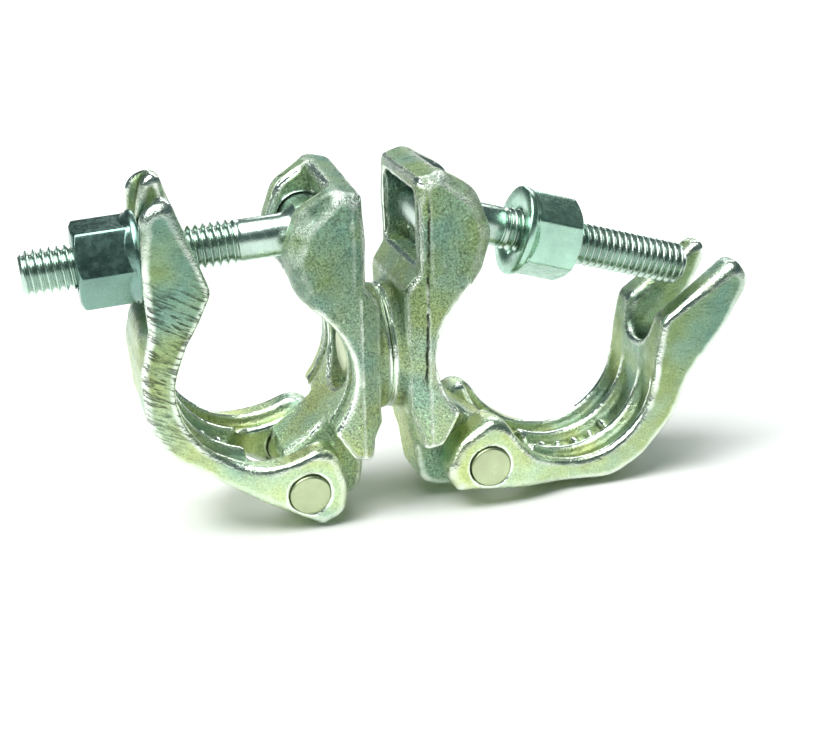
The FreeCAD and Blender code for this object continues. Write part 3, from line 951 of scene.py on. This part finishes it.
# ---------------------------------------------------------------- the pieces
body_zinc = {
    "left": forged_zinc("forged_zinc_left_body", 1.0),
    "right": forged_zinc("forged_zinc_right_body", 1.0, seamed=True),
}
flap_zinc = {
    "left": forged_zinc("forged_zinc_left_flap", 0.35, scored=True),
    "right": forged_zinc("forged_zinc_right_flap", 0.35),
}
# The two nuts are one zinc in lit and shaded copies: painted shade on the left nut, painted light
# on the right.
nut_zinc = {
    "left": bright_zinc("shaded_copy_zinc_nut", (0.21, 0.35, 0.30), 0.2, 0.34, 600, 0.0002),
    "right": bright_zinc("lit_copy_zinc_nut", (0.44, 0.68, 0.55), 0.2, 0.34, 600, 0.0002),
}
bolt_zinc = bright_zinc("bright_zinc_bolt", (0.54, 0.68, 0.60), 0.2, 0.3)
pin_zinc = bright_zinc("bright_zinc_pin", (0.56, 0.64, 0.40), 0.26, 0.40, 500, 0.0002)

body_mesh = forged(body_field, (-1.2, -24.2, -46.0), (31.5, 24.2, 56.0))
flap_mesh = forged(flap_field, (12.0, -24.6, -48.0), (70.5, 24.6, 59.5))
bolt_shape = bolt_mesh()
nut_shape = nut_mesh()
pin_shape = pin_mesh()


def place(name, node, body, mesh, matrix, material, slot_name):
    piece = new_piece(name, *mesh, matrix, material)
    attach(piece, body)
    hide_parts(node)


for half in ("right", "left"):
    in_half = half_matrix(half)
    opened = in_half @ turned_about(PIN_ALONG, PIN_HEIGHT, FLAP_OPENING[half])
    on_bolt = bolt_matrix(half)
    roll = Matrix.Rotation(math.radians(NUT_ROLL[half]), 4, "Z")
    on_thread = on_bolt @ Matrix.Translation((0, 0, NUT_DISTANCE[half] * MM)) @ roll
    saddle_zinc, arm_zinc, hexagon_zinc = body_zinc[half], flap_zinc[half], nut_zinc[half]
    for name, node, body, mesh, matrix, material, slot_name in (
        ("saddle", "body", "half", body_mesh, in_half, saddle_zinc, "forged_zinc"),
        ("forked_flap", "flap", "arm", flap_mesh, opened, arm_zinc, "forged_zinc"),
        ("pin", "hinge_pin", "arm", pin_shape, opened, pin_zinc, "bright_zinc"),
        ("threaded_bolt", "t_bolt", "bolt", bolt_shape, on_bolt, bolt_zinc, "bright_zinc"),
        ("hexagon_nut", "flange_nut", "nut", nut_shape, on_thread, hexagon_zinc, "nut_zinc"),
    ):
        names = (f"{half}_{name}", f"{half}_{node}", f"{half}_{body}")
        place(*names, mesh, matrix, material, slot_name)
rivet_at = half_matrix("right")
place("rivet", "swivel_rivet", "right_half", rivet_mesh(), rivet_at, pin_zinc, "bright_zinc")

# ---------------------------------------------------------------- floor, light and camera
FLOOR_HEIGHT = cad_box[0][2] - 0.0006
FLOOR_HALF = 7.0
SUN_STRENGTH = 3.2
SUN_WIDTH = math.radians(50)
CAMERA_TARGET = Vector((-0.02385, 0, -0.01131))
CAMERA_AZIMUTH = math.radians(-15.22)
CAMERA_ELEVATION = math.radians(19.49)
CAMERA_ROLL = math.radians(-2.29)
CAMERA_DISTANCE = 0.4951
CAMERA_LENS = 71.13


def add_floor():
    corners = [(-1, -1), (1, -1), (1, 1), (-1, 1)]
    mesh = bpy.data.meshes.new("floor")
    points = [(x * FLOOR_HALF, y * FLOOR_HALF, FLOOR_HEIGHT) for x, y in corners]
    mesh.from_pydata(points, [], [(0, 1, 2, 3)])
    material = bpy.data.materials.new("floor_paper")
    material.use_nodes = True
    tree = material.node_tree
    shader = tree.nodes["Principled BSDF"]
    where = add(tree, "TexCoord").outputs["Object"]
    patches = noise(tree, where, 14)
    tone = ramp(tree, patches, [(0.3, (0.86, 0.865, 0.85)), (0.7, (0.88, 0.885, 0.87))])
    tree.links.new(tone, shader.inputs["Base Color"])
    shader.inputs["Roughness"].default_value = 0.9
    shader.inputs["Specular IOR Level"].default_value = 0.1
    mesh.materials.append(material)
    floor = bpy.data.objects.new("floor", mesh)
    bpy.context.scene.collection.objects.link(floor)


def add_softbox(name, place_at, size, power, colour=(1, 1, 1)):
    """A square area light that faces the object."""
    light = bpy.data.lights.new(name, "AREA")
    light.shape = "RECTANGLE"
    light.size, light.size_y = size
    light.energy = power
    light.color = colour
    lamp = bpy.data.objects.new(name, light)
    bpy.context.scene.collection.objects.link(lamp)
    lamp.location = place_at
    lamp.rotation_euler = (CAMERA_TARGET - Vector(place_at)).to_track_quat("-Z", "Y").to_euler()


def add_sun():
    """One broad soft light from above, even over the whole floor."""
    light = bpy.data.lights.new("sky_panel", "SUN")
    light.energy = SUN_STRENGTH
    light.angle = SUN_WIDTH
    lamp = bpy.data.objects.new("sky_panel", light)
    bpy.context.scene.collection.objects.link(lamp)
    lamp.rotation_euler = Vector((-0.3, -0.1, 1.0)).to_track_quat("Z", "Y").to_euler()


def add_world():
    """Pale near the horizon, darker and cooler above it, so that bright metal has contrast."""
    world = bpy.data.worlds.new("studio")
    bpy.context.scene.world = world
    world.use_nodes = True
    tree = world.node_tree
    where = add(tree, "TexCoord").outputs["Generated"]
    height = add(tree, "SeparateXYZ", {"Vector": where}).outputs["Z"]
    sky = ramp(tree, height, [
        (0.0, (0.60, 0.63, 0.60)), (0.1, (0.13, 0.18, 0.175)), (0.5, (0.05, 0.085, 0.085)),
        (0.9, (0.2, 0.25, 0.24)),
    ])
    background = tree.nodes["Background"]
    tree.links.new(sky, background.inputs["Color"])
    background.inputs["Strength"].default_value = 1.0


def add_camera():
    azimuth, elevation = CAMERA_AZIMUTH, CAMERA_ELEVATION
    back = Vector((
        math.sin(azimuth) * math.cos(elevation),
        -math.cos(azimuth) * math.cos(elevation),
        math.sin(elevation),
    ))
    right = Vector((math.cos(azimuth), math.sin(azimuth), 0))
    turned = Matrix((right, back.cross(right), back)).transposed().to_4x4()
    turned = turned @ Matrix.Rotation(CAMERA_ROLL, 4, "Z")
    camera = bpy.data.objects.new("camera", bpy.data.cameras.new("camera"))
    bpy.context.scene.collection.objects.link(camera)
    camera.matrix_world = Matrix.Translation(CAMERA_TARGET + back * CAMERA_DISTANCE) @ turned
    camera.data.lens = CAMERA_LENS
    camera.data.sensor_width = 36.0
    camera.data.sensor_fit = "HORIZONTAL"
    camera.data.clip_start = 0.01
    bpy.context.scene.camera = camera


add_floor()
add_world()
add_sun()
add_softbox("key", (-0.75, -0.25, 0.85), (0.45, 0.6), 6)
add_softbox("back", (0.35, 0.9, 0.6), (0.9, 0.3), 4)
add_camera()
bpy.context.scene.view_settings.view_transform = "Standard"
